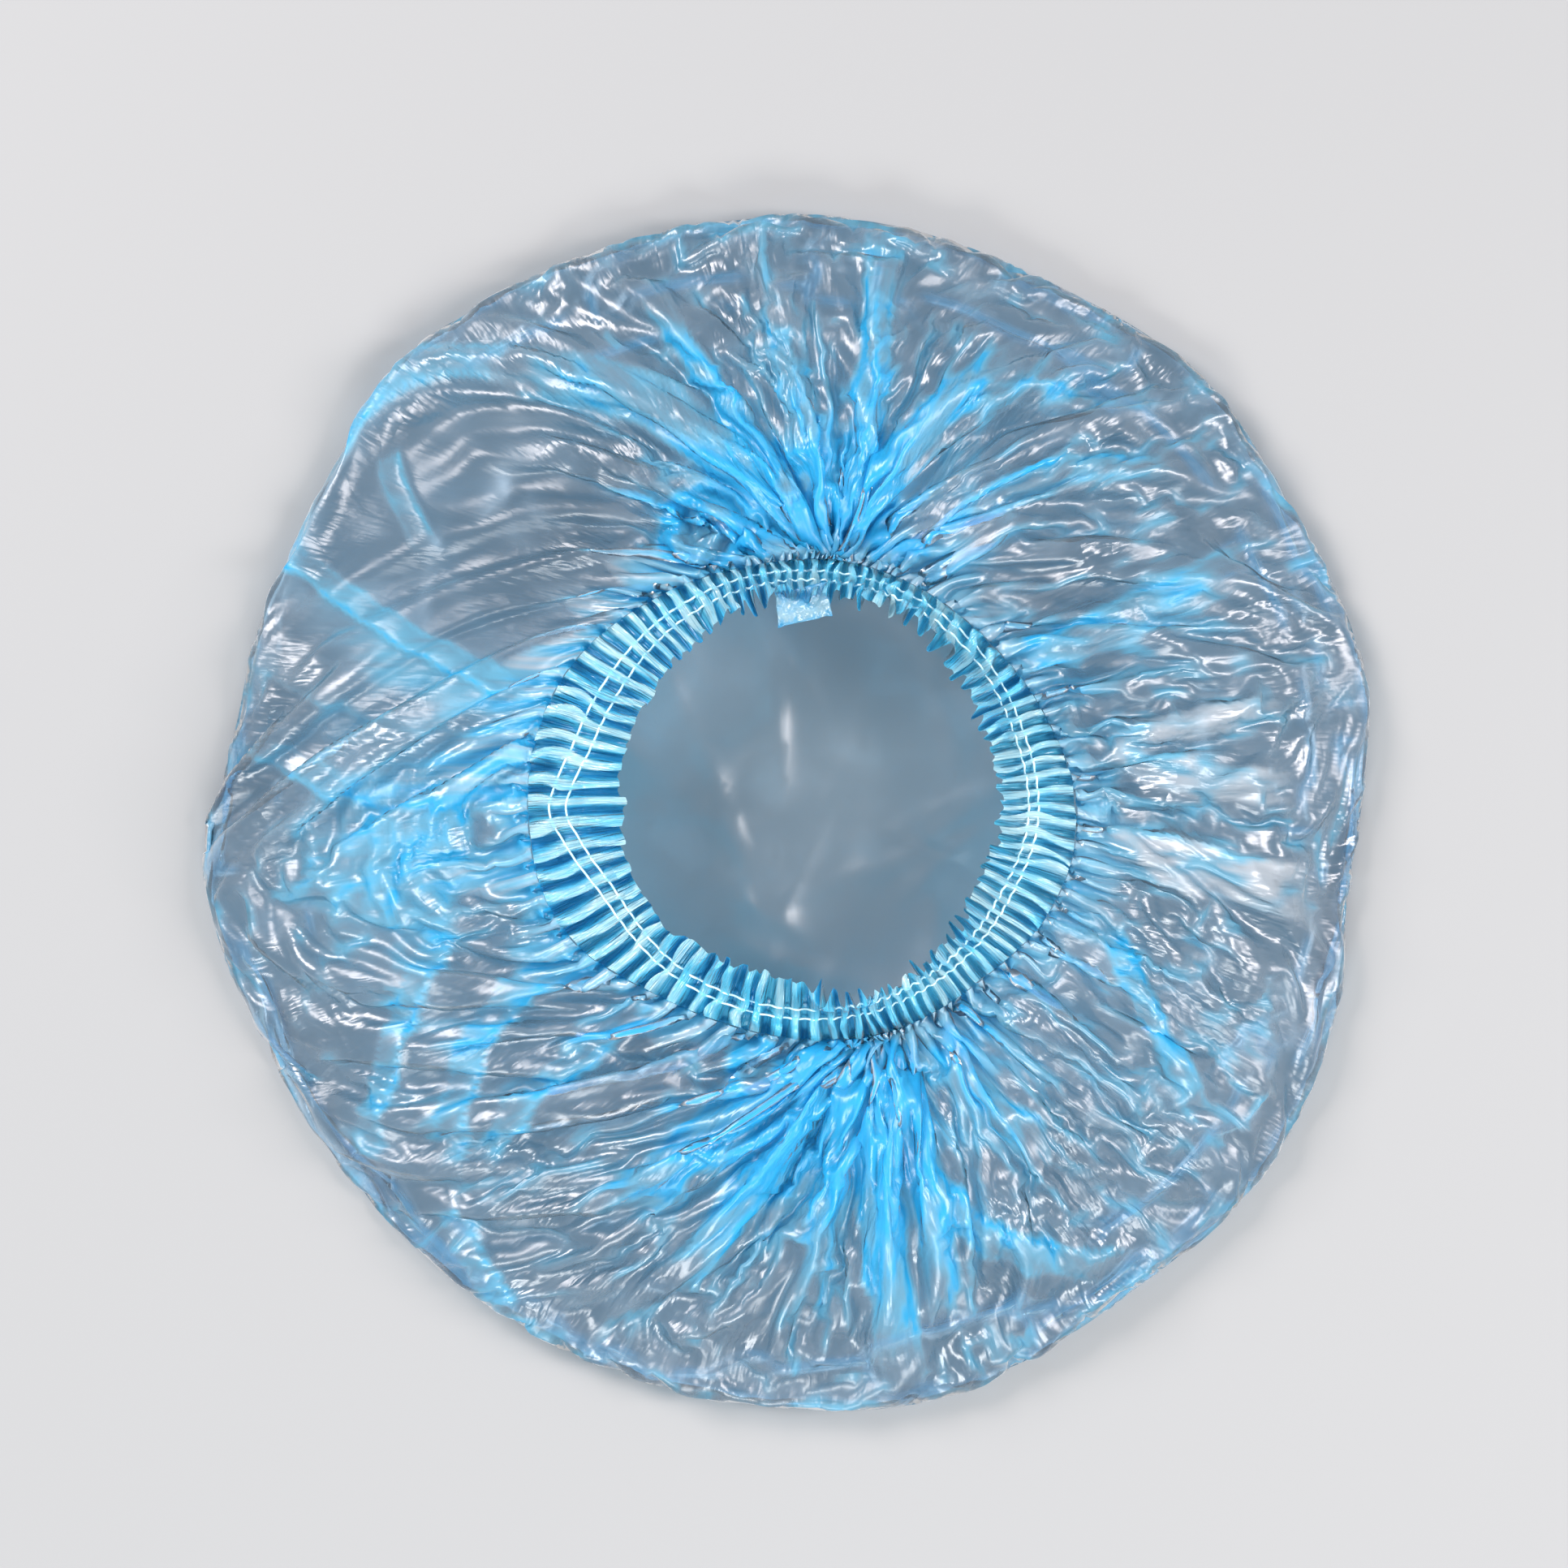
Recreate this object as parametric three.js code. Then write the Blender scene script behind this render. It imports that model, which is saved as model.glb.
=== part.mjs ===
// Disposable shower cap: a thin plastic film bag with a gathered elastic hem, lying on its crown with the
// head opening up. Millimetres, +Z up. The origin is on the surface the cap lies on, under the middle of its
// bounding box. The film bag, the hem ruffle, the two elastic threads and the joint tab are one mesh each.
import * as THREE from "three";

// Driving dimensions.
const FILM_WALL = 1.2; // stand-in thickness of the film
const GAP = 0.5; // clearance between touching pieces, straight up or straight out
const SPOKES = 80; // stations round the film bag
const PLEATS = 80; // accordion pleats of the hem, two stations each
const EDGE_ROLL = 9; // radius of the soft roll at the outer edge
const HEM_CENTRE = { x: 6.5, y: 4.5 }; // the opening sits a little off the middle of the cap
const THREAD_RADIUS = 0.55; // elastic thread
const THREAD_SIDES = 6;

// The cap's outline from above: how far the outer edge lies from the origin at each direction.
const OUTLINE = [
  { angle: -176, radius: 138.5 },
  { angle: -158, radius: 135 },
  { angle: -134, radius: 134.5 },
  { angle: -110, radius: 137.5 },
  { angle: -88, radius: 141.5 },
  { angle: -75, radius: 144 },
  { angle: -55, radius: 141 },
  { angle: -37, radius: 143 },
  { angle: -20, radius: 140 },
  { angle: -4, radius: 137 },
  { angle: 14, radius: 142.5 },
  { angle: 30, radius: 141 },
  { angle: 48, radius: 143.5 },
  { angle: 64, radius: 141 },
  { angle: 84, radius: 142 },
  { angle: 108, radius: 140 },
  { angle: 131, radius: 140 },
  { angle: 146, radius: 133.5 },
  { angle: 160, radius: 132 },
  { angle: 172, radius: 131.5 },
];

// The hem ruffle round the opening, measured from HEM_CENTRE. Its band lies flat on the left and stands up
// elsewhere: inner and outer are the radii of its two edges, high and low are their heights.
const HEM = [
  { angle: 180, inner: 44, outer: 65, low: 31, high: 34 },
  { angle: 155, inner: 43.5, outer: 63, low: 31, high: 35 },
  { angle: 128, inner: 43.5, outer: 60, low: 30, high: 37 },
  { angle: 104, inner: 45, outer: 56, low: 28, high: 39 },
  { angle: 82, inner: 45.5, outer: 54.5, low: 26, high: 40 },
  { angle: 62, inner: 46.5, outer: 54, low: 27, high: 40 },
  { angle: 40, inner: 43, outer: 54.5, low: 28, high: 40 },
  { angle: 18, inner: 42.5, outer: 57.5, low: 28, high: 39 },
  { angle: -4, inner: 44, outer: 62, low: 29, high: 38 },
  { angle: -24, inner: 43.5, outer: 62, low: 29, high: 38 },
  { angle: -48, inner: 46, outer: 58.5, low: 28, high: 39 },
  { angle: -74, inner: 48, outer: 58, low: 26, high: 40 },
  { angle: -100, inner: 42, outer: 56.5, low: 28, high: 39 },
  { angle: -126, inner: 43.5, outer: 58, low: 30, high: 37 },
  { angle: -152, inner: 45, outer: 65, low: 31, high: 34 },
];

// The film's height between the rolled outer edge (share 0) and the hem (share 1), before folds.
// fold is how much of FOLD_HEIGHT the radial folds have there.
const TOP_PROFILE = [
  { share: 0.1, height: 20, fold: 0.15 },
  { share: 0.25, height: 27, fold: 0.5 },
  { share: 0.45, height: 31.5, fold: 0.9 },
  { share: 0.65, height: 33, fold: 1 },
  { share: 0.85, height: 32, fold: 0.6 },
];
const FOLD_HEIGHT = 3.2; // half the height of the radial folds
const FOLD_STATIONS = 4; // stations in one fold
const CROWN_RINGS = [0.35, 0.65, 0.92]; // rings of the flat crown, as shares of its radius

// The two places where the film is bunched on the elastic, and its folds fan out from.
const GATHERS = [{ angle: 82 }, { angle: -74 }];
const GATHER_PULL = 0.72; // how strongly the folds draw together there
const GATHER_WIDTH = 38; // degrees of the outline that each one draws on

// The hem's rows from its inner to its outer edge. amplitude is half the height of the pleats.
// An elastic thread lies along two of them.
const HEM_ROWS = [
  { share: 0, amplitude: 2.2 },
  { share: 0.4, amplitude: 1.5, thread: "elastic_thread_inner" },
  { share: 0.58, amplitude: 1.5, thread: "elastic_thread_outer" },
  { share: 1, amplitude: 1.1 },
];

// The tab where the two ends of the elastic are welded together.
const TAB = { width: 12.5, depth: 8, thickness: 0.8, angle: 92, radius: 43.5, turn: 12, corner: 0.8 };

const MATERIALS = {
  film: { color: 0x9fd4f2, roughness: 0.15, metalness: 0 },
  hem: { color: 0x5bbcf0, roughness: 0.25, metalness: 0 },
  thread: { color: 0xdff6fb, roughness: 0.6, metalness: 0 },
  tab: { color: 0xbfe6f7, roughness: 0.35, metalness: 0 },
};

const radians = THREE.MathUtils.degToRad;

// A named column of a table of directions at any angle: a smooth closed curve through every row.
function roundTable(table, column, angle) {
  const rows = [...table].sort((a, b) => a.angle - b.angle);
  const turn = (from, to) => THREE.MathUtils.euclideanModulo(to - from, 360);
  const at = rows.findLastIndex((row) => row.angle <= rows[0].angle + turn(rows[0].angle, angle));
  const [before, here, next, after] = [-1, 0, 1, 2].map((k) => rows.at((at + k) % rows.length));
  const span = turn(here.angle, next.angle);
  const t = turn(here.angle, angle) / span;
  const slopeHere = ((next[column] - before[column]) / turn(before.angle, next.angle)) * span;
  const slopeNext = ((after[column] - here[column]) / turn(here.angle, after.angle)) * span;
  const blend = THREE.MathUtils.smoothstep(t, 0, 1);
  const line = THREE.MathUtils.lerp(here[column], next[column], blend);
  return line + slopeHere * t * (1 - t) ** 2 - slopeNext * t ** 2 * (1 - t);
}

// Where a fold that meets the outline at angle reaches the hem: drawn in towards the gathers.
function hemAngle(angle) {
  return GATHERS.reduce((sum, gather) => {
    const away = THREE.MathUtils.euclideanModulo(angle - gather.angle + 180, 360) - 180;
    return sum - GATHER_PULL * away * Math.exp(-((away / GATHER_WIDTH) ** 2));
  }, angle);
}

function onOutline(angle, inset, z) {
  const radius = roundTable(OUTLINE, "radius", angle) - inset;
  return new THREE.Vector3(radius * Math.cos(radians(angle)), radius * Math.sin(radians(angle)), z);
}

function roundHem(angle, radius, z) {
  return new THREE.Vector3(
    HEM_CENTRE.x + radius * Math.cos(radians(angle)),
    HEM_CENTRE.y + radius * Math.sin(radians(angle)),
    z,
  );
}

// A closed surface through rings of points. A ring of one point is a pole.
// With closed, the last ring joins the first.
function loft(rings, closed = false) {
  const positions = [];
  const starts = rings.map((ring) => {
    const start = positions.length / 3;
    ring.forEach((point) => positions.push(point.x, point.y, point.z));
    return start;
  });
  const index = [];
  const bands = closed ? rings.length : rings.length - 1;
  for (let j = 0; j < bands; j++) {
    const k = (j + 1) % rings.length;
    const count = Math.max(rings[j].length, rings[k].length);
    for (let i = 0; i < count; i++) {
      const near = (m) => starts[j] + (m % rings[j].length);
      const far = (m) => starts[k] + (m % rings[k].length);
      if (rings[j].length > 1) index.push(near(i), near(i + 1), far(i + 1));
      if (rings[k].length > 1) index.push(near(i), far(i + 1), far(i));
    }
  }
  const geometry = new THREE.BufferGeometry();
  geometry.setAttribute("position", new THREE.Float32BufferAttribute(positions, 3));
  geometry.setIndex(index);
  geometry.computeVertexNormals();
  return geometry;
}

function mesh(name, geometry, look) {
  const made = new THREE.Mesh(geometry, new THREE.MeshStandardMaterial(MATERIALS[look]));
  made.name = name;
  return made;
}

// One fold runs up and down over FOLD_STATIONS stations; every third is taller, so that they aren't all alike.
function foldAt(station) {
  const fold = Math.floor(station / FOLD_STATIONS);
  const tall = 1 + 0.35 * Math.cos(fold * 2.1);
  return FOLD_HEIGHT * tall * Math.sin((2 * Math.PI * station) / FOLD_STATIONS);
}

// The film's surface at one depth inside its outer face, as rings from the crown's middle to the hem.
function filmRings(depth) {
  const angles = Array.from({ length: SPOKES }, (_, i) => (360 * i) / SPOKES);
  const rings = [[new THREE.Vector3(0, 0, depth)]];
  for (const share of CROWN_RINGS) {
    const scale = new THREE.Vector3(share, share, 1);
    rings.push(angles.map((angle) => onOutline(angle, EDGE_ROLL, depth).multiply(scale)));
  }
  for (const turn of [0, 45, 90, 135]) {
    const reach = (EDGE_ROLL - depth) * Math.sin(radians(turn));
    const z = EDGE_ROLL - (EDGE_ROLL - depth) * Math.cos(radians(turn));
    rings.push(angles.map((angle) => onOutline(angle, EDGE_ROLL - reach, z)));
  }
  for (const { share, height, fold } of TOP_PROFILE) {
    rings.push(
      angles.map((angle, station) => {
        const edge = onOutline(angle, EDGE_ROLL, 0);
        const hem = filmEdge(angle, 0);
        return edge.lerp(hem, share).setZ(height - depth + fold * foldAt(station));
      }),
    );
  }
  rings.push(angles.map((angle) => filmEdge(angle, depth)));
  return rings;
}

// The film's inner edge, which meets the hem's outer edge face to face.
function filmEdge(angle, depth) {
  const at = hemAngle(angle);
  const low = roundTable(HEM, "low", at);
  return roundHem(at, roundTable(HEM, "outer", at) + GAP, low + FILM_WALL / 2 - depth);
}

function filmBag() {
  return loft([...filmRings(0), ...filmRings(FILM_WALL).reverse()]);
}

// A point on the hem's band: share runs from its inner to its outer edge, and lift is along the band's
// upper normal, which turns to straight up at the outer edge.
function onHem(angle, share, lift) {
  const columns = ["inner", "outer", "low", "high"];
  const [inner, outer, low, high] = columns.map((column) => roundTable(HEM, column, angle));
  const slope = Math.atan2(high - low, outer - inner) * (1 - share);
  const radius = THREE.MathUtils.lerp(inner, outer, share) + lift * Math.sin(slope);
  return roundHem(angle, radius, THREE.MathUtils.lerp(high, low, share) + lift * Math.cos(slope));
}

function hemRow({ share, amplitude }, side) {
  const stations = 2 * PLEATS;
  return Array.from({ length: stations }, (_, i) => {
    const pleat = i % 2 ? amplitude : -amplitude;
    return onHem((360 * i) / stations, share, pleat + (side * FILM_WALL) / 2);
  });
}

function hemRuffle() {
  const under = HEM_ROWS.map((row) => hemRow(row, -1));
  const over = HEM_ROWS.map((row) => hemRow(row, 1)).reverse();
  return loft([...under, ...over], true);
}

// How far the pleats' upper crests stand off the band's middle surface in a row.
function crest({ amplitude }) {
  return amplitude + FILM_WALL / 2;
}

// An elastic thread lies on the pleats' crests, with a step at each.
function elasticThread(row) {
  const lift = crest(row) + GAP + THREAD_RADIUS;
  const rings = Array.from({ length: THREAD_SIDES }, (_, side) => {
    const around = (2 * Math.PI * side) / THREAD_SIDES;
    return Array.from({ length: PLEATS }, (_, i) => {
      const angle = (360 * (i + 0.5)) / PLEATS;
      const middle = onHem(angle, row.share, lift);
      const out = THREAD_RADIUS * Math.sin(around);
      return new THREE.Vector3(
        middle.x + out * Math.cos(radians(angle)),
        middle.y + out * Math.sin(radians(angle)),
        middle.z - THREAD_RADIUS * Math.cos(around),
      );
    });
  });
  return loft(rings, true);
}

function jointTab() {
  const { width, depth, thickness, corner } = TAB;
  const outline = new THREE.Shape();
  outline.moveTo(-width / 2 + corner, -depth / 2);
  outline.lineTo(width / 2 - corner, -depth / 2);
  outline.absarc(width / 2 - corner, -depth / 2 + corner, corner, -Math.PI / 2, 0);
  outline.lineTo(width / 2, depth / 2);
  outline.lineTo(-width / 2, depth / 2);
  outline.lineTo(-width / 2, -depth / 2 + corner);
  outline.absarc(-width / 2 + corner, -depth / 2 + corner, corner, Math.PI, 1.5 * Math.PI);
  return new THREE.ExtrudeGeometry(outline, { depth: thickness, bevelEnabled: false, curveSegments: 3 });
}

const cap = new THREE.Group();
cap.add(mesh("film_bag", filmBag(), "film"));
cap.add(mesh("hem_ruffle", hemRuffle(), "hem"));
for (const row of HEM_ROWS.filter(({ thread }) => thread)) {
  cap.add(mesh(row.thread, elasticThread(row), "thread"));
}

const tab = mesh("elastic_tab", jointTab(), "tab");
const seat = onHem(TAB.angle, 0, crest(HEM_ROWS[0]));
tab.position.copy(roundHem(TAB.angle, TAB.radius, seat.z + GAP));
tab.rotation.z = radians(TAB.turn);
cap.add(tab);

const middle = new THREE.Box3().setFromObject(cap).getCenter(new THREE.Vector3());
cap.position.set(-middle.x, -middle.y, 0);

export default cap;
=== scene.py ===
"""A disposable shower cap of thin clear film, lying on its crown with its opening up."""

import math

import bpy
import numpy as np
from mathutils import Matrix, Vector


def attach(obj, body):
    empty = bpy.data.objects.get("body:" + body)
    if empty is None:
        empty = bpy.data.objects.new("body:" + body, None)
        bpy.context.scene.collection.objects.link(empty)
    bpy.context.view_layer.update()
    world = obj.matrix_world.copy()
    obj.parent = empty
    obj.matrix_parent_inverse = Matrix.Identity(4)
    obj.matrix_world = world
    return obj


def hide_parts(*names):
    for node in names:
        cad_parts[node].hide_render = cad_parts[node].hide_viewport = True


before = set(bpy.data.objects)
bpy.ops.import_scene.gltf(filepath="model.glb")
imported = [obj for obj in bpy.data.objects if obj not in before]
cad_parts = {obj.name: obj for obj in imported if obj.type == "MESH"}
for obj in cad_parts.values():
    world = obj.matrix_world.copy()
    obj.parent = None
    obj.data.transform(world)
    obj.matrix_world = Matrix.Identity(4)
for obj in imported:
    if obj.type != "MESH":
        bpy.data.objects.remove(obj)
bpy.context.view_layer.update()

MM = 0.001
TURN = 2 * math.pi

# ---------------------------------------------------------------- the cap's form, in millimetres


def table(columns, rows):
    """A list of records, from the columns' names and a tuple for each row."""
    return [dict(zip(columns.split(), row)) for row in rows]


# How far the outer edge lies from the middle of the outline, at each direction in degrees.
OUTLINE = {
    "angle": [-176, -158, -134, -110, -88, -75, -55, -37, -20, -4,
              14, 30, 48, 64, 84, 108, 131, 146, 160, 172],
    "radius": [138.5, 135, 134.5, 137.5, 141.5, 144, 141, 143, 140, 137,
               142.5, 141, 143.5, 141, 142, 140, 140, 133.5, 132, 131.5],
}
# The hem band round the opening: radii of its two edges from HEM_CENTRE, and their heights.
HEM = {
    "angle": [-152, -126, -100, -74, -48, -24, -4, 18, 40, 62, 82, 104, 128, 155, 180],
    "inner": [45, 43.5, 42, 48, 46, 43.5, 44, 42.5, 43, 46.5, 45.5, 45, 43.5, 43.5, 44],
    "outer": [65, 58, 56.5, 58, 58.5, 62, 62, 57.5, 54.5, 54, 54.5, 54.5, 57.5, 63, 65],
    "low": [31, 30, 28, 26, 28, 29, 29, 28, 28, 27, 26, 28, 30, 31, 31],
    "high": [34, 37, 39, 40, 39, 38, 38, 39, 40, 40, 40, 39, 37, 35, 34],
}
HEM_CENTRE = np.array([6.5, 4.5])
# The elastic's distance from HEM_CENTRE: nearly a circle, pulled out to a corner on the left.
ELASTIC = {
    "angle": [-153, -127, -90, -50, -27, -7, 20, 45, 84, 104, 126, 150, 168, 176, 184, 192],
    "radius": [51.4, 50.9, 50.5, 50.5, 50.5, 51.5, 49.8, 50, 50, 50.5, 51, 51.6, 53.5, 56, 58.2, 55.5],
}
# Which direction of the outline is gathered to which direction of the hem. Near 86 and -90 much of the
# film runs into one place: those are the cap's two big gathers.
GATHER = {
    "outline": [40, 61, 86, 111, 135, 158, 180, 203, 225, 242, 270, 295, 315, 338, 360, 382, 400],
    "hem": [66, 80, 84, 88, 104, 136, 172, 213, 252, 281, 286, 291, 306, 332, 360, 390, 426],
}
# How far the hem's pleats run on into the film, how frilly the band is, how dark its valleys are, from the
# film stacked there and from painted shade, and how blue its pleats are on top.
FRINGE = {
    "angle": [-150, -110, -80, -55, -25, 0, 30, 60, 90, 110, 135, 165, 190],
    "length": [12, 9, 5, 7, 10, 10, 7, 6, 6, 10, 14, 17, 15],
    "frill": [1, 1.4, 1.8, 1.4, 1, 1, 1.3, 1.7, 1.7, 1.2, 0.9, 0.8, 0.8],
    "deep": [0.9, 0.6, 0.45, 0.45, 0.5, 0.5, 0.45, 0.4, 0.45, 0.65, 1, 1, 1],
    "blue": [0.05, 0.2, 0.3, 0.2, 0.05, 0.05, 0.15, 0.25, 0.25, 0.1, 0, 0, 0],
}
PLEATS = 128
PLEAT_LIFT = 2.6  # half the height of a pleat where the film meets the hem
FRINGE_CREST = 0.2  # how blue the film's pleats beside the hem are on top

# The main folds of the top film, from the middle of the outline: each runs in a bow from a first point by a
# second to a third. width and height are the ridge's, blue is how much film is doubled up in it, and pale how
# much whitish sheen is painted on it as haze, a painted highlight. A fold with no height is a soft patch of
# doubled film.
FOLDS = table("line width height blue pale", [
    ([(13, 57), (-8, 88), (-34, 126)], 2.5, 5, 0.7, 0),
    ([(10, 57), (-25, 92), (-70, 105)], 6, 4, 0.6, 0.1),
    ([(-66, 105), (-92, 102), (-108, 80)], 4, 3, 0.55, 0.1),
    ([(12, 60), (4, 95), (-2, 130)], 4, 4, 0.2, 0.35),
    ([(16, 60), (21, 100), (24, 140)], 3.5, 5, 0.7, 0),
    ([(18, 60), (32, 88), (62, 110)], 4, 5, 0.6, 0),
    ([(26, 78), (48, 97), (88, 88)], 3, 3, 0.35, 0),
    ([(30, 56), (60, 78), (98, 78)], 3, 3, 0.3, 0),
    ([(38, 32), (78, 44), (116, 64)], 5, 4, 0.5, 0),
    ([(-57, 28), (-90, 43), (-121, 67)], 3, 5, 0.6, 0.1),
    ([(-112, 58), (-120, 72), (-112, 88)], 3, 3, 0.5, 0),
    ([(-92, 84), (-88, 72), (-80, 58)], 3, 4, 0.45, 0.2),
    ([(-60, 5), (-97, 5), (-128, 20)], 3, 3, 0.5, 0),
    ([(-77, -27), (-90, -52), (-98, -84)], 3, 4, 0.5, 0),
    ([(-30, -33), (-66, -46), (-78, -92)], 3.5, 4, 0.6, 0),
    ([(-20, -44), (-52, -60), (-72, -86)], 3, 4, 0.55, 0),
    ([(-78, -92), (-72, -105), (-60, -122)], 3, 3, 0.5, 0),
    ([(14, -50), (-12, -70), (-42, -94)], 5, 5, 0.8, 0),
    ([(16, -50), (-2, -78), (-26, -112)], 4, 5, 0.75, 0),
    ([(18, -50), (12, -82), (5, -118)], 3, 5, 0.6, 0),
    ([(21, -48), (23, -92), (30, -138)], 5, 6, 0.8, 0),
    ([(23, -50), (33, -86), (38, -122)], 3.5, 5, 0.6, 0),
    ([(25, -52), (42, -94), (90, -106)], 4, 5, 0.6, 0),
    ([(28, -50), (45, -66), (62, -76)], 4, 3, 0.4, 0),
    ([(77, -28), (86, -48), (100, -74)], 2.5, 4, 0.6, 0),
    ([(66, -4), (98, -13), (126, -20)], 5.5, 4, 0, 0.95),
    ([(75, 15), (97, 21), (119, 24)], 3, 3, 0, 0.85),
    ([(77, 13), (97, 8), (121, 6)], 3.5, 3, 0.1, 0.85),
    ([(-60, 22), (-100, 28), (-128, 44)], 5, 3, 0.2, 0.2),
    ([(13, 56), (13, 74), (15, 94)], 15, 0, 1.0, 0),
    ([(8, 60), (-6, 68), (-30, 82)], 8, 0, 0.6, 0),
    ([(17, -50), (2, -68), (-22, -96)], 19, 0, 1.0, 0),
    ([(20, -52), (26, -72), (36, -98)], 9, 0, 0.7, 0),
    ([(-72, -8), (-95, -2), (-125, 6)], 30, 0, 0.4, 0),
    ([(-118, 58), (-114, 84), (-90, 106)], 9, 0, 0.4, 0),
    ([(-60, 24), (-92, 38), (-122, 60)], 9, 0, 0.4, 0),
])
# Places where the film bulges out smoothly, with little spare film.
BULGES = table("at radius", [((-80, 58), 36)])
# Places where the film is curled up round a point.
CURLS = table("at radius height", [((-18, 65), 9.5, 3.2), ((-6, -59), 6, 1.4), ((2, 76), 5, 1.0)])

CROWN_STEP = 2.0  # between the rings of the crown
CROWN_HOLE = 4.0  # radius of its innermost ring
PACKET_CREASES = 150
EDGE_LINE = 0.9  # half the width of the line that shows along each edge of a fold
EDGE_ROLL = 7.0  # radius of the roll at the outer edge
CROWN_RADIUS = 112.0  # the film lies flat on the floor inside this
TOP_PROFILE = [(0.1, 19.0), (0.25, 25.0), (0.45, 29.0), (0.65, 31.0), (0.85, 31.0)]
SLACK = 1.02  # the flat film's length from the crown to the hem, over the mean surface's
FULLNESS = 0.5  # the share of the film gathered round the rings that is left in, for the folds to take up
BULGE_FULLNESS = 0.85  # how much less of it there is in the bulges
BULGE_UNEVEN = 0.7  # how much less uneven the film is there
EASING_ROUNDS = 9  # how often the film in the bulges is averaged to round off its creases
FILM_GAP = 0.15  # how high the film lies over the floor


def around(table, column, degrees):
    """A column of a table of directions at any angles: a smooth closed curve through every row."""
    rows = np.array(table["angle"], float)
    values = np.array(table[column], float)
    a = np.mod(np.asarray(degrees, float) - rows[0], 360) + rows[0]
    at = np.searchsorted(rows, a, side="right") - 1
    n = len(rows)
    span = np.mod(np.roll(rows, -1) - rows, 360)
    t = (a - rows[at]) / span[at]
    before, after, last = values[at - 1], values[(at + 1) % n], values[(at + 2) % n]
    slope_here = (after - before) / (span[at - 1] + span[at]) * span[at]
    slope_next = (last - values[at]) / (span[at] + span[(at + 1) % n]) * span[at]
    blend = t * t * (3 - 2 * t)
    line = values[at] * (1 - blend) + after * blend
    return line + slope_here * t * (1 - t) ** 2 - slope_next * t * t * (1 - t)


def gather_curve():
    """GATHER as a smooth curve that never turns back, every quarter of a degree for one turn."""
    fine = np.arange(0, 360, 0.25)
    turned = np.mod(fine - 40, 360) + 40
    hem = np.interp(turned, GATHER["outline"], GATHER["hem"]) - (turned - fine)
    extra = hem - fine
    window = np.hanning(2 * 28 + 1)
    window /= window.sum()
    return fine, np.convolve(np.concatenate([extra[-28:], extra, extra[:28]]), window, "valid")


GATHER_AT, GATHER_BY = gather_curve()


def hem_direction(degrees):
    """Where the film that leaves the outline at an angle reaches the hem."""
    degrees = np.asarray(degrees, float)
    return degrees + np.interp(np.mod(degrees, 360), GATHER_AT, GATHER_BY, period=360)


def round_hem(degrees, radius, z):
    a = np.radians(degrees)
    return np.stack([HEM_CENTRE[0] + radius * np.cos(a), HEM_CENTRE[1] + radius * np.sin(a), z + 0 * a], -1)


def on_hem(degrees, share, lift):
    """A point on the hem band: share is 0 at its inner edge and 1 at its outer, lift stands off its top."""
    inner, outer, low, high = (around(HEM, c, degrees) for c in ("inner", "outer", "low", "high"))
    slope = np.arctan2(high - low, outer - inner) * (1 - share)
    radius = inner + (outer - inner) * share + lift * np.sin(slope)
    return round_hem(degrees, radius, high + (low - high) * share + lift * np.cos(slope))


def on_band(degrees, place, lift):
    """A point on the hem band: place 0 is its inner edge, 0.5 the elastic and 1 its outer edge."""
    inner, outer = around(HEM, "inner", degrees), around(HEM, "outer", degrees)
    elastic = (around(ELASTIC, "radius", degrees) - inner) / (outer - inner)
    share = np.where(place < 0.5, 2 * place * elastic, elastic + (2 * place - 1) * (1 - elastic))
    return on_hem(degrees, share, lift)


def pleat(phase):
    """The height of a pleat from 1 on its flat top to -1 in its valley."""
    return np.clip(1.9 * np.cos(phase) + 0.25, -1, 1)


def pleat_shade(phase):
    """How much film one looks through, plus painted light: least along the two edges of a pleat's top, as
    painted highlight lines, most in the valley, where stacked film and painted shade darken it.
    """
    away = np.abs(np.mod(phase / TURN + 0.5, 1) - 0.5)
    return np.interp(away, [0, 0.083, 0.167, 0.25, 0.333, 0.5], [0.24, 0.18, 0.0, 0.4, 0.85, 1.0])


def unit(vectors):
    """Each vector, made 1 long."""
    return vectors / np.linalg.norm(vectors, axis=1, keepdims=True)


def bow(line, count=80):
    """Points along the smooth curve from the first point by the second to the third."""
    first, via, last = (np.array(p, float) for p in line)
    control = 2 * via - (first + last) / 2
    t = np.linspace(0, 1, count)[:, None]
    return first * (1 - t) ** 2 + control * 2 * t * (1 - t) + last * t * t


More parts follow.
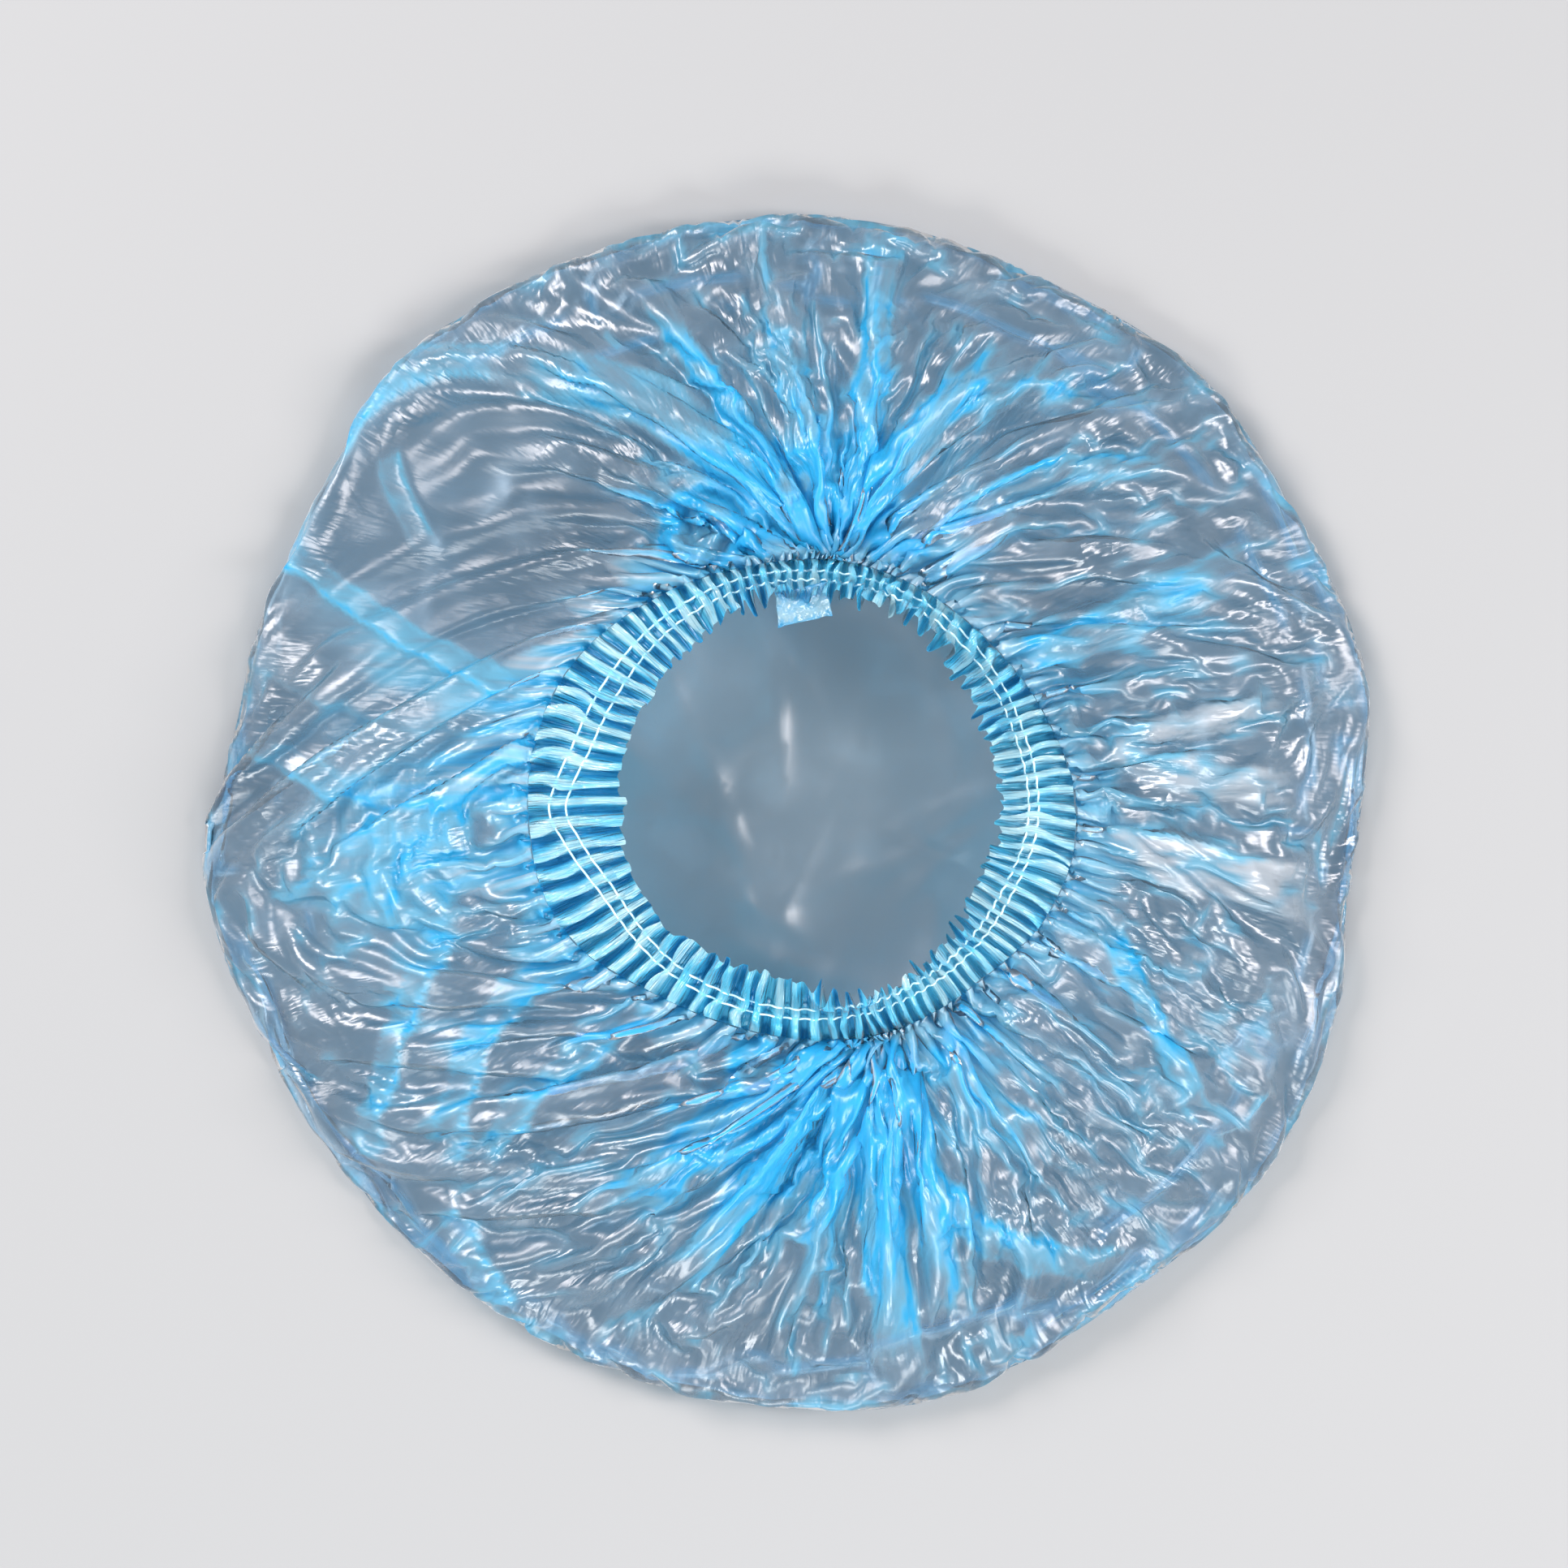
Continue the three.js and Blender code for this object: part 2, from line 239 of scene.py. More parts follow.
def main_folds(xy):
    """At each point: how high the main folds stand, their crisp edge on top of that, how much film is
    doubled up there and how much whitish sheen is painted there as a highlight."""
    height, edge, blue, pale = np.zeros((4, len(xy)))
    for fold in FOLDS:
        line = bow(fold["line"])
        reach = 1.6 * fold["width"] + 4
        near = np.where(np.all((xy > line.min(0) - reach) & (xy < line.max(0) + reach), axis=1))[0]
        to = xy[near, None, :] - line[None, :, :]
        k = np.linalg.norm(to, axis=2).argmin(1)
        t = k / (len(line) - 1)
        way = unit(np.gradient(line, axis=0))
        to = to[np.arange(len(near)), k]
        across = to[:, 0] * -way[k, 1] + to[:, 1] * way[k, 0]
        past = np.where((t == 0) | (t == 1), np.abs((to * way[k]).sum(1)), 0)
        from_hem = np.linalg.norm(xy[near] - HEM_CENTRE, axis=1)
        width = fold["width"] * np.clip((from_hem - 46) / 32, 0.25, 1)
        ends = np.clip(np.minimum(t * 12 + 0.5, (1 - t) * 4), 0, 1) * np.exp(-((past / 2) ** 2))
        away = across / width
        if fold["height"]:
            side = np.clip((width - np.abs(across)) / 1.0 + 0.5, 0, 1)
            ramp = np.clip((away + 1) / 2, 0, 1)
            high_edge = np.exp(-(((across - width) / EDGE_LINE) ** 2))
            low_edge = np.exp(-(((across + width) / EDGE_LINE) ** 2))
            shade = side * (0.45 + 0.3 * ramp) + 0.55 * (high_edge + 0.6 * low_edge)
            rise = side * ramp * 1.3
        else:
            shade = np.exp(-np.abs(away) ** 3) * np.clip(2 * (1 - t), 0, 1)
            rise = 0 * shade
        height[near] = np.maximum(height[near], fold["height"] * ends * np.exp(-(away**2)))
        edge[near] += rise * ends
        added = fold["blue"] * ends * shade
        blue[near] = np.maximum(blue[near], added) + 0.25 * np.minimum(blue[near], added)
        pale[near] = np.maximum(pale[near], fold["pale"] * ends * shade)
    for curl in CURLS:
        to = (xy - np.array(curl["at"], float)) / curl["radius"]
        r = np.linalg.norm(to, axis=1)
        turn = np.arctan2(to[:, 1], to[:, 0])
        fade = np.exp(-(r**4))
        edge += curl["height"] * fade * np.cos(7.5 * r + 2 * turn)
        blue = np.maximum(blue * (1 - fade), np.exp(-(((r - 0.95) / 0.18) ** 2)))
        # A whitish spot in the middle of each curl: a painted glint.
        pale = np.maximum(pale, 0.6 * np.exp(-((r / 0.35) ** 2)))
    return height, edge, blue, pale


def cubic_weights(f):
    """How much each of four neighbouring cells counts, a share f of the way from the second to the third."""
    return [(1 - f) ** 3 / 6, (3 * f**3 - 6 * f**2 + 4) / 6, (-3 * f**3 + 3 * f**2 + 3 * f + 1) / 6, f**3 / 6]


def smooth_noise(rng, shape, cells):
    """Smooth random values, closed round the second axis: a few random cells, spread by cubic steps."""
    rows, columns = cells
    grid = rng.standard_normal((rows + 3, columns))
    u = np.linspace(0, rows, shape[0], endpoint=False)
    v = np.arange(shape[1]) / shape[1] * columns
    i, j = u.astype(int), v.astype(int)
    total = np.zeros(shape)
    for a, wu in enumerate(cubic_weights(u - i)):
        for b, wv in enumerate(cubic_weights(v - j)):
            total += grid[np.ix_(i + a, (j + b) % columns)] * wu[:, None] * wv[None, :]
    return total * 1.9


# ---------------------------------------------------------------- the film, folded by simulation


def polar(p):
    """Distances from the middle, never quite 0, and directions in degrees."""
    return np.maximum(np.hypot(p[..., 0], p[..., 1]), 1e-6), np.degrees(np.arctan2(p[..., 1], p[..., 0]))


def apart(p, q):
    """The distances between two sets of points."""
    return np.linalg.norm(p - q, axis=-1)[..., None]


class Film:
    """A ring of film on a grid: rings from the crown out to the cut edge, spokes all the way round.

    pos is where each point is, mean is the given mean surface, and flat is each point's radius in the
    flat cut. Lengths in the flat cut hold the film together, and a weak pull draws it to its mean surface.
    It doesn't collide with itself.
    """

    def __init__(self, rings, spokes):
        self.rings, self.spokes = rings, spokes
        self.theta = np.arange(spokes) * 360 / spokes
        self.share = np.linspace(0, 1, rings)[:, None]
        self.profile()
        self.pos = self.mean.copy()
        self.rest_lengths()
        self.weight = np.ones((rings, spokes, 1))
        self.weight[0] = 0
        self.weight[-1] = 0

    def profile(self):
        """The film's mean surface: flat crown, rolled edge and rising top, and the flat radius to suit."""
        theta = self.theta
        reach = around(OUTLINE, "radius", theta) - EDGE_ROLL
        a = np.radians(theta)
        out = np.stack([np.cos(a), np.sin(a)], -1)
        to = hem_direction(theta)
        edge = round_hem(to, around(HEM, "outer", to) + 0.4, around(HEM, "low", to))
        stations = [np.concatenate([out * CROWN_RADIUS, np.zeros((len(a), 1))], 1)]
        for turn in range(0, 181, 20):
            r = reach + EDGE_ROLL * math.sin(math.radians(turn))
            z = EDGE_ROLL * (1 - math.cos(math.radians(turn)))
            stations.append(np.concatenate([out * r[:, None], np.full((len(a), 1), z)], 1))
        rim = np.concatenate([out * reach[:, None], np.zeros((len(a), 1))], 1)
        for share, height in TOP_PROFILE:
            p = rim * (1 - share) + edge * share
            p[:, 2] = height
            stations.append(p)
        stations.append(edge)
        line = np.array(stations)
        step = np.linalg.norm(np.diff(line, axis=0), axis=2)
        run = np.concatenate([np.zeros((1, len(a))), np.cumsum(step, axis=0)])
        # Even out how much film each direction has, as a round cut would.
        kernel = np.hanning(2 * (self.spokes // 24) + 1)
        kernel /= kernel.sum()
        length = run[-1]
        pad = len(kernel) // 2
        eased = np.convolve(np.concatenate([length[-pad:], length, length[:pad]]), kernel, "valid")
        self.flat = CROWN_RADIUS + self.share * np.maximum(length, eased)[None, :] * SLACK
        self.mean = np.empty((self.rings, self.spokes, 3))
        for j in range(self.spokes):
            for k in range(3):
                self.mean[:, j, k] = np.interp(self.share[:, 0] * run[-1, j], run[:, j], line[:, j, k])
        # The share of the grid at which the film turns over at the outer edge.
        half = reach + EDGE_ROLL * math.pi / 2 - CROWN_RADIUS
        self.fold_share = (half / (self.flat[-1] - CROWN_RADIUS))[None, :]

    def flat_xy(self):
        a = np.radians(self.theta)
        return np.stack([self.flat * np.cos(a), self.flat * np.sin(a)], -1)

    def rest_lengths(self, crumple=(1.0, 1.0), uneven=None):
        """Lengths in the flat film. Part of the film's fullness is left out between the outer edge and the
        hem, since there it lies in the deep folds of the two gathers. crumple is the spare film of the small
        creases, round and outwards, and uneven says where there is more of it: one field for each of the
        grid's two ways and its two diagonals."""
        q = self.flat_xy()
        right = np.roll(q, -1, 1)
        hoop, ray = apart(q, right), apart(q[:-1], q[1:])
        full = np.clip((self.share - 0.84) / 0.16, 0, 1)[..., None]
        spread = apart(self.mean, np.roll(self.mean, -1, 1)) / hoop
        loose = np.clip(self.share / 0.12, 0, 1)[..., None]
        fullness = FULLNESS * (1 - BULGE_FULLNESS * self.bulging()[..., None])
        keep = 1 + (crumple[0] * np.minimum(spread, 1) ** ((1 - fullness) * (1 - full)) - 1) * loose
        side, wide = (hoop[:-1] + hoop[1:]) / 2, (keep[:-1] + keep[1:]) / 2
        tall = 1 + (crumple[1] - 1) * loose[:-1]

        def diagonal(length):
            slant = length**2 - ray**2 - side**2
            return np.sqrt((tall * ray) ** 2 + (wide * side) ** 2 + tall * wide * slant)

        self.rest = {
            "hoop": hoop * keep,
            "ray": ray * tall,
            "down": diagonal(apart(q[:-1], right[1:])),
            "up": diagonal(apart(q[1:], right[:-1])),
            "hoop2": apart(q, np.roll(q, -2, 1)) * keep,
            "ray2": apart(q[:-2], q[2:]) * tall[:-1],
        }
        if uneven is not None:
            loose = loose * (1 - self.share[..., None] ** 6)
            hoop, ray, down, up = (1 + f[..., None] * loose for f in uneven)
            for name, field in (("hoop", hoop), ("ray", ray[:-1]), ("down", down[:-1]), ("up", up[:-1]),
                                ("hoop2", hoop), ("ray2", ray[:-2])):
                self.rest[name] = self.rest[name] * field

    def bulging(self):
        """1 in the middle of each of the BULGES, 0 away from them."""
        found = np.zeros((self.rings, self.spokes))
        for bulge in BULGES:
            away = np.linalg.norm(self.mean[..., :2] - bulge["at"], axis=-1) / bulge["radius"]
            found = np.maximum(found, np.exp(-(away**4)))
        return found

    def ease_bulges(self, rounds):
        """Round off the creases in the bulges."""
        x = self.pos
        share = self.bulging()[1:-1, :, None]
        for _ in range(rounds):
            near = (np.roll(x, 1, 1) + np.roll(x, -1, 1))[1:-1] + x[:-2] + x[2:]
            x[1:-1] += share * (near / 4 - x[1:-1])

    def pin(self):
        """Hold the cut edge in pleats on the hem. The coarsest grid can only carry half of them."""
        half = self.spokes < 2.5 * PLEATS
        pleats, lift = (PLEATS / 2, PLEAT_LIFT * 1.9) if half else (PLEATS, PLEAT_LIFT)
        wave = pleat(np.radians(self.theta) * pleats)
        self.pos[-1] = on_hem(hem_direction(self.theta), 1.0, lift * wave)

    def calm(self):
        """Where each point would be without the small creases, seen from above."""
        xy = self.pos[..., :2].copy()
        across, along = self.spokes // 128, self.rings // 32
        for reach in range(1, across + 1):
            xy = (2 * xy + np.roll(xy, reach, 1) + np.roll(xy, -reach, 1)) / 4
        for reach in range(1, along + 1):
            wide = np.concatenate([xy[:1]] * reach + [xy] + [xy[-1:]] * reach)
            xy = (2 * xy + wide[: self.rings] + wide[2 * reach :]) / 4
        return xy.reshape(-1, 2)

    def fold_heights(self):
        """How high the main folds stand on the top film, and their crisp edges on top of that."""
        top = self.share > self.fold_share
        height, edge, _, _ = main_folds(self.calm())
        ease = np.where(top, np.clip((1 - self.share) * 12, 0, 1), 0)
        return ease * height.reshape(top.shape), ease * edge.reshape(top.shape)

    def raise_folds(self, share):
        """Lift the top film into its main folds, and hold it there from now on."""
        height, _ = self.fold_heights()
        self.pos[..., 2] += share * height
        self.mean[..., 2] += share * height

    @staticmethod
    def pull(a, b, rest, wa, wb, stiff):
        """Move two sets of points so that each pair is its flat length apart."""
        d = b - a
        length = np.sqrt(np.einsum("...k,...k->...", d, d))[..., None] + 1e-9
        d *= (length - rest) / length * (stiff / np.maximum(wa + wb, 1e-9))
        return a + d * wa, b - d * wb

    @staticmethod
    def flatten(a, b, rest, wa, wb, bend, crease):
        """Open gentle bends out and leave sharp ones alone, as film that creases into flat facets does."""
        d = b - a
        length = np.sqrt(np.einsum("...k,...k->...", d, d))[..., None] + 1e-9
        bent = np.maximum(1 - length / rest, 0)
        stiff = bend / (1 + (bent / crease) ** 2) + 0.25 * np.clip(bent * 4 - 2, 0, 1)
        d *= -bent * rest / length * (stiff / np.maximum(wa + wb, 1e-9))
        return a + d * wa, b - d * wb

    def sweep(self, bend, crease, shear=0.6):
        """Once over every length: round the rings, outwards, both diagonals, and two steps each way."""
        x, w, rest = self.pos, self.weight, self.rest
        n, m = self.spokes, self.rings
        for start in (0, 1):
            ia = np.arange(start, n, 2)
            ib = (ia + 1) % n
            x[:, ia], x[:, ib] = self.pull(x[:, ia], x[:, ib], rest["hoop"][:, ia], w[:, ia], w[:, ib], 1.0)
        for start in (0, 1):
            ia, ib = slice(start, m - 1, 2), slice(start + 1, m, 2)
            x[ia], x[ib] = self.pull(x[ia], x[ib], rest["ray"][ia], w[ia], w[ib], 1.0)
        for start in (0, 1):
            ia, ib = slice(start, m - 1, 2), slice(start + 1, m, 2)
            a, b = self.pull(x[ia], np.roll(x[ib], -1, 1), rest["down"][ia], w[ia], w[ib], shear)
            x[ia], x[ib] = a, np.roll(b, 1, 1)
            b, a = self.pull(x[ib], np.roll(x[ia], -1, 1), rest["up"][ia], w[ib], w[ia], shear)
            x[ib], x[ia] = b, np.roll(a, 1, 1)
        for start in range(4):
            ia = np.arange(start, n, 4)
            ib = (ia + 2) % n
            x[:, ia], x[:, ib] = self.flatten(
                x[:, ia], x[:, ib], rest["hoop2"][:, ia], w[:, ia], w[:, ib], bend, crease)
        for start in range(4):
            ia = np.arange(start, m - 2, 4)
            ib = ia + 2
            x[ia], x[ib] = self.flatten(x[ia], x[ib], rest["ray2"][ia], w[ia], w[ib], bend, crease)

    def hold(self, pillow, sag):
        """Draw the film a little to its mean surface, in place of the air and stiffness that hold a real cap
        up, and let it down by sag. Keep it over the floor, inside the outline and outside the hem."""
        x = self.pos
        free = self.weight > 0
        x += np.where(free, (self.mean - x) * pillow, 0)
        x[..., 2] -= np.where(free[..., 0], sag, 0)
        top = self.share > self.fold_share
        x[..., 2] = np.maximum(x[..., 2], np.where(top, 2.0, 0.0))
        r, a = polar(x)
        over = np.minimum(1, around(OUTLINE, "radius", a) / r)
        x[:-1, :, :2] *= over[:-1, :, None]
        d = x[..., :2] - HEM_CENTRE
        r, a = polar(d)
        out = np.maximum(1, (around(HEM, "outer", a) - 0.5) / r)
        x[:-1, :, :2] = HEM_CENTRE + d[:-1] * out[:-1, :, None]

    def crowding(self):
        """0 where the film lies open, 1 where it is packed tightest round its rings."""
        reach = self.spokes // PLEATS
        span = np.linalg.norm(np.roll(self.pos, -reach, 1) - np.roll(self.pos, reach, 1), axis=-1)
        packed = 2 * reach * self.flat * TURN / self.spokes / np.maximum(span, 0.2)
        for _ in range(6):
            packed = (packed + np.roll(packed, 1, 1) + np.roll(packed, -1, 1)) / 3
        return np.clip((packed - 2.2) / 5, 0, 1)

    def fringe(self):
        """1 where the film leaves the hem, down to 0 where each of its pleats there fades out."""
        back = (1 - self.share) * (self.flat[-1] - CROWN_RADIUS)
        length = around(FRINGE, "length", hem_direction(self.theta))
        length = length * (1 + 0.5 * smooth_noise(np.random.default_rng(5), (4, self.spokes), (1, 120))[0])
        return np.clip(1 - back / np.maximum(length, 2), 0, 1) ** 0.5

    def finer(self):
        """The same film on a grid twice as fine."""
        fine = Film(self.rings * 2 - 1, self.spokes * 2)
        x = self.pos
        wide = np.empty((self.rings, self.spokes * 2, 3))
        wide[:, 0::2] = x
        a, b, c, d = np.roll(x, 1, 1), x, np.roll(x, -1, 1), np.roll(x, -2, 1)
        wide[:, 1::2] = (9 * (b + c) - a - d) / 16
        tall = np.empty((fine.rings, fine.spokes, 3))
        tall[0::2] = wide
        mid = (wide[:-1] + wide[1:]) / 2
        mid[1:-1] = (9 * (wide[1:-2] + wide[2:-1]) - wide[:-3] - wide[3:]) / 16
        tall[1::2] = mid
        fine.pos = tall
        return fine

    def shake(self, rng, amount, cells):
        """Small random bumps, square to the mean surface, that folds can start from."""
        along = np.gradient(self.mean, axis=0)
        across = np.roll(self.mean, -1, 1) - np.roll(self.mean, 1, 1)
        normal = np.cross(across, along)
        normal /= np.linalg.norm(normal, axis=-1, keepdims=True) + 1e-9
        ease = np.minimum(1, np.minimum(self.share, 1 - self.share) * 8)[..., None]
        bumps = smooth_noise(rng, (self.rings, self.spokes), cells)[..., None]
        self.pos += normal * bumps * amount * ease


# The film's three grids, each twice as fine as the one before. crumple is the spare film of small creases,
# round and outwards. uneven and shakes are amounts with their random cells. folds is how far the main folds
# are raised. Each sweep opens bends gentler than crease by a share bend.
FIRST_GRID = (25, 192)
GRIDS = table("crumple uneven shakes folds sweeps bend crease pillow sag", [
    ((1.0, 1.02), None, [(4.0, (3, 16)), (2.5, (7, 44))], 0, 300, 0.3, 0.03, 0.008, 0.04),
    ((1.01, 1.04), (0.07, (12, 60)), [(2.0, (15, 84))], 1.0, 220, 0.4, 0.015, 0.006, 0.02),
    ((1.03, 1.07), (0.08, (26, 130)), [(1.1, (32, 190))], 0.5, 200, 0.5, 0.008, 0.002, 0.012),
])


def fold_film():
    """Gather the film from coarse folds to fine ones."""
    rng = np.random.default_rng(7)
    film = None
    for grid in GRIDS:
        film = film.finer() if film else Film(*FIRST_GRID)
        film.rest_lengths(grid["crumple"], grid["uneven"] and uneven(rng, film, *grid["uneven"]))
        for amount, cells in grid["shakes"]:
            film.shake(rng, amount, cells)
        film.raise_folds(grid["folds"])
        film.pin()
        for _ in range(grid["sweeps"]):
            film.sweep(grid["bend"], grid["crease"])
            film.hold(grid["pillow"], grid["sag"])
    film.ease_bulges(EASING_ROUNDS)
    _, edge = film.fold_heights()
    film.pos[..., 2] += edge
    return film


def uneven(rng, film, amount, cells):
    """Fields for Film.rest_lengths: spare film in patches, lying every way, so that creases do too."""
    amount = amount * (1 - BULGE_UNEVEN * film.bulging())
    return [amount * smooth_noise(rng, (film.rings, film.spokes), cells) for _ in range(4)]


def film_mesh(film):
    """The whole film: the folded skirt and the flat crown inside it, with its place in the flat cut."""
    rng = np.random.default_rng(19)
    points, flats, faces = [], [], []
    count = 0

    def ring(flat_radius, theta, pos=None):
        nonlocal count
        a = np.radians(theta)
        flat = np.stack([flat_radius * np.cos(a), flat_radius * np.sin(a), 0 * a], -1)
        points.append(flat if pos is None else pos)
        flats.append(flat)
        count += len(flat)
        return count - len(flat)

    skirt = [ring(film.flat[i], film.theta, film.pos[i]) for i in range(film.rings)]
    n = film.spokes
    for a, b in zip(skirt[:-1], skirt[1:]):
        faces += between(a, b, n)
    # A ring of the crown has half the last one's points where they would get much closer than the rings.
    inner, spokes, radius = skirt[0], n, CROWN_RADIUS
    while radius > 2 * CROWN_HOLE:
        radius = max(radius - CROWN_STEP, CROWN_HOLE)
        halve = spokes * 1.1 > TURN * radius / CROWN_STEP * 1.9 and spokes > 24
        now = spokes // 2 if halve else spokes
        start = ring(radius, np.arange(now) * 360 / now)
        if halve:
            for j in range(now):
                k, m = (j + 1) % now, 2 * j
                faces.append((start + j, start + k, inner + m + 1))
                faces.append((start + j, inner + m + 1, inner + m))
                faces.append((start + k, inner + (m + 2) % spokes, inner + m + 1))
        else:
            faces += between(start, inner, now)
        inner, spokes = start, now
    middle = ring(0.0, np.zeros(1))
    for j in range(spokes):
        faces.append((middle, inner + (j + 1) % spokes, inner + j))
    pos = np.concatenate(points)
    crown = slice(film.rings * n, None)
    pos[crown, 2] += crown_creases(rng, pos[crown, :2])
    pos[:, 2] += FILM_GAP
    return pos, np.concatenate(flats), faces


def crown_creases(rng, xy):
    """Low, sharp creases that a film keeps from being folded in its packet, lying on the floor."""
    z = np.zeros(len(xy))
    for _ in range(PACKET_CREASES):
        at = rng.uniform(-100, 100, 2)
        turn = rng.uniform(0, math.pi)
        along = np.array([math.cos(turn), math.sin(turn)])
        d = xy - at
        u = d @ along
        v = d @ np.array([-along[1], along[0]]) + 0.004 * u * u * rng.uniform(-1, 1)
        length, width, height = rng.uniform(8, 38), rng.uniform(1.5, 4.5), rng.uniform(0.3, 1.3)
        z += height * np.exp(-((u / length) ** 2)) / (1 + (v / width) ** 2)
    edge = np.clip((CROWN_RADIUS - np.hypot(xy[:, 0], xy[:, 1])) / 14, 0, 1)
    return np.clip(z - 0.6, 0, 4) * edge * edge * (3 - 2 * edge)


def new_mesh(name, points, faces, shift):
    mesh = bpy.data.meshes.new(name)
    mesh.from_pydata(((points + shift) * MM).tolist(), [], faces)
    mesh.polygons.foreach_set("use_smooth", np.ones(len(mesh.polygons), bool))
    made = bpy.data.objects.new(name, mesh)
    bpy.context.scene.collection.objects.link(made)
    return made


def between(a, b, n):
    """The faces between two closed rows of n points, which start at a and b."""
    return [(a + j, a + (j + 1) % n, b + (j + 1) % n, b + j) for j in range(n)]


def add_values(piece, name, values):
    """Store one number, or one direction, a point for the material to read."""
    kind, field = ("FLOAT_VECTOR", "vector") if values.ndim == 2 else ("FLOAT", "value")
    made = piece.data.attributes.new(name, kind, "POINT")
    made.data.foreach_set(field, values.astype(np.float32).ravel())


class Surface:
    """Normals and neighbour averages of a mesh, worked out for all its points at once."""

    def __init__(self, points, faces):
        self.faces = np.array([f if len(f) == 4 else (*f, f[2]) for f in faces])
        self.count = len(points)
        f = self.faces
        normal = np.cross(points[f[:, 2]] - points[f[:, 0]], points[f[:, 3]] - points[f[:, 1]])
        self.face_normal = normal / (np.linalg.norm(normal, axis=1, keepdims=True) + 1e-12)
        self.uses = np.maximum(np.bincount(f.ravel(), minlength=self.count), 1)

    def to_points(self, values):
        """The mean of the values of the faces round each point."""
        values = np.repeat(values, 4, axis=0)
        return np.bincount(self.faces.ravel(), values, self.count) / self.uses

    def smooth(self, values, times):
        for _ in range(times):
            values = self.to_points(values[self.faces].mean(1))
        return values

    def bend(self):
        """0 where the surface is flat, 1 where it turns right back."""
        mean = np.stack([self.to_points(self.face_normal[:, k]) for k in range(3)], -1)
        return 1 - np.linalg.norm(mean, axis=1)

    def steep(self):
        """0 where the surface lies flat, 1 where it stands upright."""
        return 1 - self.to_points(np.abs(self.face_normal[:, 2]))


# ---------------------------------------------------------------- the gathered hem

# Rows across the band: place (0 inner edge, 0.5 elastic, 1 outer edge), half the pleats' height there, and
# how ragged they are.
HEM_ROWS = table("place height ragged", [
    (0.0, 2.2, 1.1), (0.07, 2.3, 0.9), (0.14, 2.2, 0.8), (0.22, 2.0, 0.7),
    (0.3, 1.75, 0.5), (0.37, 1.4, 0.35), (0.43, 1.0, 0.2), (0.5, 1.1, 0.2),
    (0.57, 1.0, 0.2), (0.63, 1.5, 0.4), (0.7, 2.1, 0.6), (0.78, 2.5, 0.75),
    (0.86, 2.7, 0.8), (0.94, 2.75, 0.6), (1.0, 2.7, 0.3),
])
HEM_STEPS = 12  # stations in a pleat
PLEAT_TIGHTEST = 2.7  # pleats of the hem are never closer than this
THREAD_THICKNESS = 0.27
TAB = {"angle": 92, "radius": 43.5, "height": 38.2, "turn": 12}


def hem_pleats():
    """Stations round the hem band: each one's direction and its place counted in pleats. The band's pleats
    carry on from the film's, except in the two gathers, where several of the film's meet each of them."""
    step = 0.05
    at = np.arange(0, 360 + step / 2, step)
    outline = np.arange(-60, 440, 0.25)
    turn = np.interp(at, hem_direction(outline), outline) * PLEATS / 360
    rate = np.gradient(turn, step)
    cap = TURN * 50 / 360 / PLEAT_TIGHTEST
    for low, high in ((0, 180), (180, 360)):
        tight = (rate > cap) & (at >= low) & (at < high)
        lost = (rate[tight] - cap).sum() * step
        rate[tight] -= (rate[tight] - cap) * round(lost) / lost
    count = turn[0] + np.concatenate([[0], np.cumsum((rate[1:] + rate[:-1]) / 2) * step])
    total = round(count[-1] - count[0])
    place = count[0] + np.arange(total * HEM_STEPS) / HEM_STEPS
    return np.interp(place, count, at), place, total


HEM_AT, HEM_TURN, HEM_PLEATS = hem_pleats()


def hem_row(row, noise):
    """One row of the hem band. Each pleat swells, leans and strays a little from the next."""
    ragged = row["ragged"] * around(FRINGE, "frill", HEM_AT)
    deep, blue = around(FRINGE, "deep", HEM_AT), around(FRINGE, "blue", HEM_AT)
    phase = HEM_TURN * TURN + 0.5 * ragged * noise[0]
    crest = pleat(phase)
    pitch = 1 / np.gradient(HEM_TURN, HEM_AT)
    lift = row["height"] * (1 + 0.35 * ragged * noise[1]) * crest
    sway = 0.12 * noise[2] * (crest + 1)
    place = row["place"] + 0.03 * ragged * noise[3] - 0.04 * ragged * crest
    # Painted light on the pleats: pale lines along the edges of each top stand for highlights, and the
    # valleys are darkened by painted shade as well as by the film stacked there.
    shade = pleat_shade(phase) * deep + blue + 0.12 * noise[1]
    return on_band(HEM_AT + sway * pitch, place, lift), np.clip(shade, 0, 1)


def hem_mesh():
    rng = np.random.default_rng(3)
    n = len(HEM_AT)
    fields = [smooth_noise(rng, (len(HEM_ROWS), n), (4, cells)) for cells in (110, 130, 90, 140)]
    rows = [hem_row(row, [f[i] for f in fields]) for i, row in enumerate(HEM_ROWS)]
    points = np.concatenate([p for p, _ in rows])
    faces = []
    for i in range(len(rows) - 1):
        a, b = i * n, (i + 1) * n
        faces += [(a + j, b + j, b + (j + 1) % n, a + (j + 1) % n) for j in range(n)]
    return points, faces, np.concatenate([shade for _, shade in rows])


